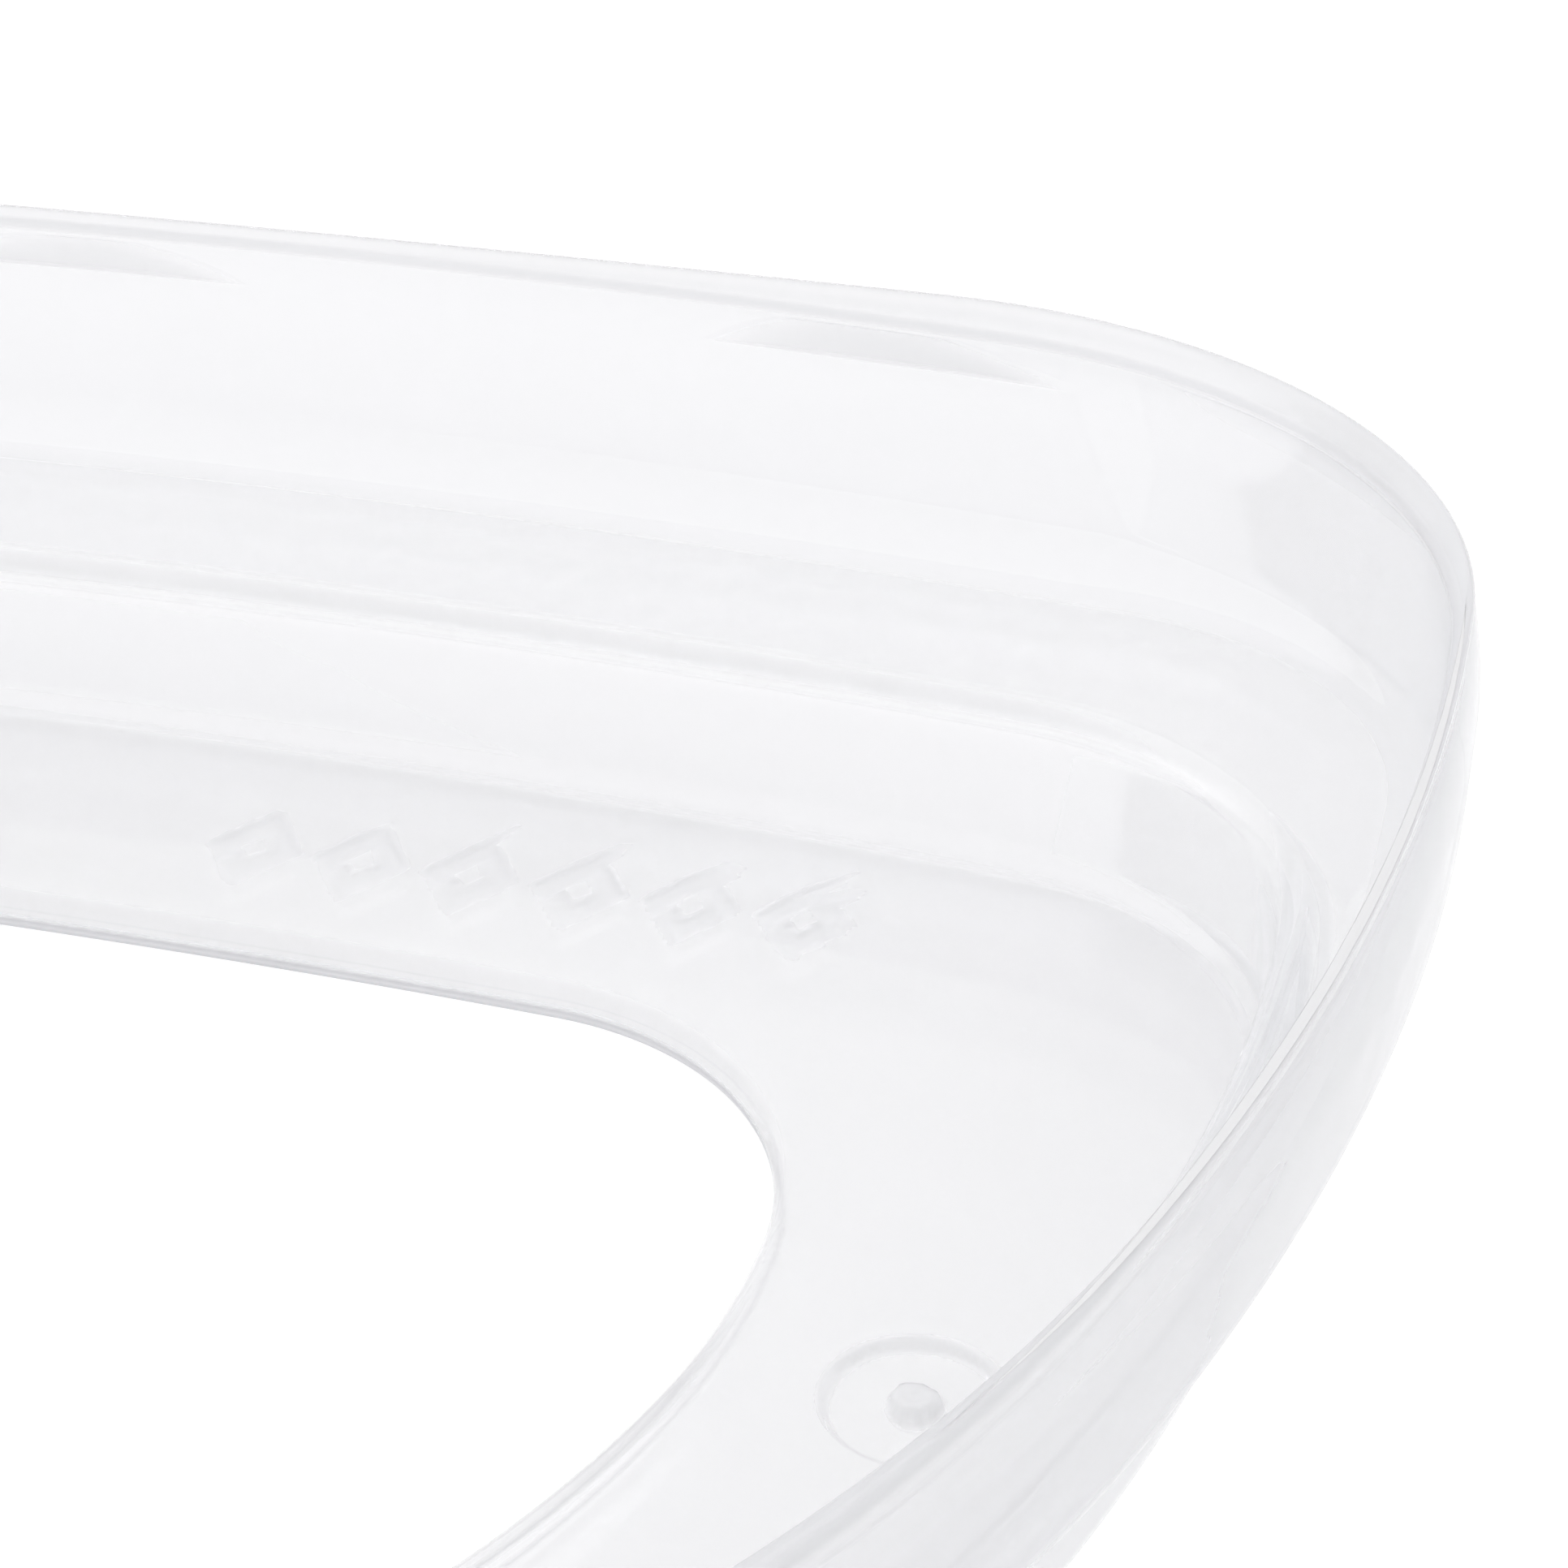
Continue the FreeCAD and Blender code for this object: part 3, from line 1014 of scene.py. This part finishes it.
        through = self.graded(nodes, links, dull_and_shaded, self.transmission, self.hazy_transmission)
        links.new(through.outputs["Result"], shader.inputs["Transmission Weight"])
        solid = self.graded(nodes, links, dull_and_shaded, self.solidity, self.hazy_solidity)
        links.new(solid.outputs["Result"], shader.inputs["Alpha"])

        depth = nodes.new("ShaderNodeVolumeAbsorption")
        depth.inputs["Color"].default_value = (*self.depth_tint, 1.0)
        depth.inputs["Density"].default_value = self.depth_density
        links.new(depth.outputs["Volume"], nodes["Material Output"].inputs["Volume"])

        ripple = nodes.new("ShaderNodeBump")
        ripple.inputs["Strength"].default_value = self.ripple_strength
        ripple.inputs["Distance"].default_value = self.ripple_height
        waves = self.noise(nodes, links, place, self.ripple_scale, detail=2.0)
        links.new(waves, ripple.inputs["Height"])
        links.new(ripple.outputs["Normal"], shader.inputs["Normal"])
        return made


@dataclass(frozen=True)
class StudioFloor:
    """A large plain white floor with a soft glow of its own, a hair below the moulding's underside."""

    reach: float = 3.0
    gap: float = 0.00002
    white: float = 0.4
    glow: float = 0.74

    def build(self) -> bpy.types.Object:
        """Make the floor and mark it as not part of the object.

        Returns:
            The floor's object.
        """
        low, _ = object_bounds()
        level = float(low[2]) - self.gap
        spans = np.linspace(-self.reach, self.reach, 2)
        x, y = np.meshgrid(spans, spans)
        points = np.stack([x, y, np.full_like(x, level)], axis=2).reshape(-1, 3)
        mesh = bpy.data.meshes.new("studio_floor")
        mesh.from_pydata(points.tolist(), [], [(0, 1, 3, 2)])
        paint = bpy.data.materials.new("floor_white")
        paint.use_nodes = True
        shader = paint.node_tree.nodes["Principled BSDF"]
        shader.inputs["Base Color"].default_value = (self.white, self.white, self.white, 1.0)
        shader.inputs["Emission Color"].default_value = (1.0, 1.0, 1.0, 1.0)
        shader.inputs["Emission Strength"].default_value = self.glow
        shader.inputs["Roughness"].default_value = 1.0
        shader.inputs["Specular IOR Level"].default_value = 0.0
        mesh.materials.append(paint)
        floor = bpy.data.objects.new("studio_floor", mesh)
        bpy.context.scene.collection.objects.link(floor)
        floor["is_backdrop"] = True
        return floor


@dataclass(frozen=True)
class SoftSurround:
    """Soft light from all round, brightest from above on the left and dimmest from the low right."""

    dim: float = 0.64
    middle: float = 1.035
    bright: float = 1.12
    dim_share: float = 0.25
    middle_share: float = 0.55
    towards: tuple[float, float, float] = (-0.6, -0.12, 0.79)

    def build(self) -> None:
        """Light the scene with a gradient.

        Formula: the share of the gradient is half of one plus the cosine between a direction and the
        brightest one.
        """
        world = bpy.data.worlds.new("soft_surround")
        bpy.context.scene.world = world
        world.use_nodes = True
        nodes, links = world.node_tree.nodes, world.node_tree.links
        cosine = nodes.new("ShaderNodeVectorMath")
        cosine.operation = "DOT_PRODUCT"
        cosine.inputs[1].default_value = Vector(self.towards).normalized()
        links.new(nodes.new("ShaderNodeTexCoord").outputs["Generated"], cosine.inputs[0])
        share = nodes.new("ShaderNodeMapRange")
        share.inputs["From Min"].default_value = -1.0
        links.new(cosine.outputs["Value"], share.inputs["Value"])
        ramp = nodes.new("ShaderNodeValToRGB")
        ramp.color_ramp.interpolation = "EASE"
        stops = ramp.color_ramp.elements
        stops[0].position, stops[0].color = self.dim_share, (self.dim,) * 3 + (1.0,)
        stops[1].position, stops[1].color = 1.0, (self.bright,) * 3 + (1.0,)
        between = stops.new(self.middle_share)
        between.color = (self.middle,) * 3 + (1.0,)
        links.new(share.outputs["Result"], ramp.inputs["Fac"])
        links.new(ramp.outputs["Color"], nodes["Background"].inputs["Color"])


@dataclass(frozen=True)
class CloseCamera:
    """A camera close above the right-hand end, looking down across the moulding."""

    aim_share: tuple[float, float, float] = (0.631, 0.360, 0.685)
    distance: float = 0.09455
    turn: float = 13.6
    elevation: float = 30.1
    lens: float = 75.47
    sensor: float = 36.0
    nearest: float = 0.002
    farthest: float = 20.0

    def build(self) -> bpy.types.Object:
        """Place the camera.

        Formula: it looks from the front, turned towards -X and tilted down, at a point given as
        shares of the model's half length, half depth and height.

        Returns:
            The camera's object.
        """
        low, high = (np.array(corner, float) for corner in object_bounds())
        half = (high - low) / 2.0
        origin = (high + low) / 2.0 - np.array([0.0, 0.0, half[2]])
        aim = origin + np.array(self.aim_share) * half * np.array([1.0, 1.0, 2.0])
        turn, tilt = np.radians(self.turn), np.radians(self.elevation)
        forward = np.array([-np.sin(turn) * np.cos(tilt), np.cos(turn) * np.cos(tilt), -np.sin(tilt)])
        right = np.array([np.cos(turn), np.sin(turn), 0.0])
        up = np.cross(right, forward)
        spot = aim - self.distance * forward
        pose = np.eye(4)
        pose[:3, :3] = np.stack([right, up, -forward], axis=1)
        pose[:3, 3] = spot
        data = bpy.data.cameras.new("close_camera")
        data.lens = self.lens
        data.sensor_width = self.sensor
        data.clip_start = self.nearest
        data.clip_end = self.farthest
        data.dof.use_dof = False
        camera = bpy.data.objects.new("close_camera", data)
        bpy.context.scene.collection.objects.link(camera)
        camera.matrix_world = Matrix(pose.tolist())
        bpy.context.scene.camera = camera
        return camera


def main() -> None:
    """Build the stage and the moulding in order."""
    logging.basicConfig(level=logging.INFO, format="%(name)s: %(message)s")
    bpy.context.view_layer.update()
    camera = CloseCamera().build()
    LOG.info("camera %s at %s", camera.name, tuple(round(v, 4) for v in camera.location))
    StudioFloor().build()
    SoftSurround().build()
    bpy.context.scene.view_settings.view_transform = "Standard"
    moulding = RetractorMoulding()
    piece = moulding.build()
    moulding.dress(piece)
    LOG.info("piece %s, %d faces", piece.name, len(piece.data.polygons))


if __name__ == "__main__":
    main()
